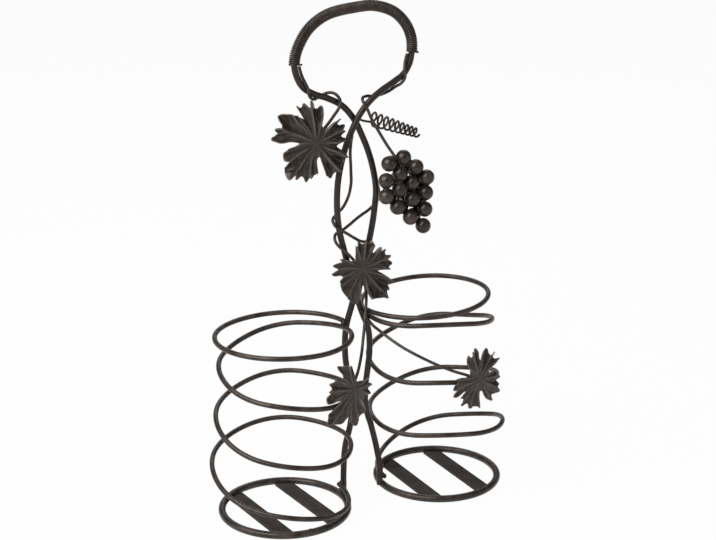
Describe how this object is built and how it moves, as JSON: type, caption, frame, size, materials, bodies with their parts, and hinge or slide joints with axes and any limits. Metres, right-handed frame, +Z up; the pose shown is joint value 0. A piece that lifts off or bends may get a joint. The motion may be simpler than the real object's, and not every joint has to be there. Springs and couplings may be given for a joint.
{
  "type": "bottle caddy",
  "caption": "Wire wine bottle caddy: slatted base rings, springy coils and crossed stems that rise into a wire-wound carrying bow, dressed with a vine of leaves and grapes.",
  "frame": {"origin": "on the floor, midway between the axes of the two wells, which is within tolerance the middle of the bounding box's underside", "axes": "+X from the left well to the right well, +Y to the back, +Z up to the carrying bow"},
  "size_m": [0.2589, 0.1188, 0.4067],
  "materials": {
    "round_bar": "satin brown-black lacquer on bent steel bar",
    "flat_bar": "satin brown-black lacquer on flat steel bar",
    "grip_wire": "satin brown-black lacquer on wound steel wire",
    "vine_wire": "satin brown-black lacquer on thin steel wire",
    "leaf_sheet": "brown lacquer rubbed on pressed steel sheet",
    "grape_ball": "satin brown lacquer on steel balls"
  },
  "bodies": {
    "root": {"corkscrew_tendril": "vine_wire", "grape_01": "grape_ball", "grape_02": "grape_ball", "grape_03": "grape_ball", "grape_04": "grape_ball", "grape_05": "grape_ball", "grape_06": "grape_ball", "grape_07": "grape_ball", "grape_08": "grape_ball", "grape_09": "grape_ball", "grape_10": "grape_ball", "grape_11": "grape_ball", "grape_12": "grape_ball", "grape_13": "grape_ball", "grape_14": "grape_ball", "grape_15": "grape_ball", "grape_16": "grape_ball", "grape_17": "grape_ball", "grape_18": "grape_ball", "grape_19": "grape_ball", "grape_20": "grape_ball", "grape_21": "grape_ball", "grape_22": "grape_ball", "grape_23": "grape_ball", "grape_24": "grape_ball", "grape_25": "grape_ball", "grape_26": "grape_ball", "grape_stalk": "vine_wire", "grip_winding": "grip_wire", "left_base_ring": "round_bar", "left_coil": "round_bar", "left_coil_leaf": "leaf_sheet", "left_coil_leaf_stalk": "vine_wire", "left_inner_slat": "flat_bar", "left_outer_slat": "flat_bar", "left_stem": "round_bar", "middle_leaf": "leaf_sheet", "middle_leaf_stalk": "vine_wire", "middle_vine": "vine_wire", "right_base_ring": "round_bar", "right_coil": "round_bar", "right_coil_leaf": "leaf_sheet", "right_coil_leaf_stalk": "vine_wire", "right_inner_slat": "flat_bar", "right_outer_slat": "flat_bar", "right_stem": "round_bar", "upper_leaf": "leaf_sheet", "upper_leaf_stalk": "vine_wire"}
  },
  "joints": []
}
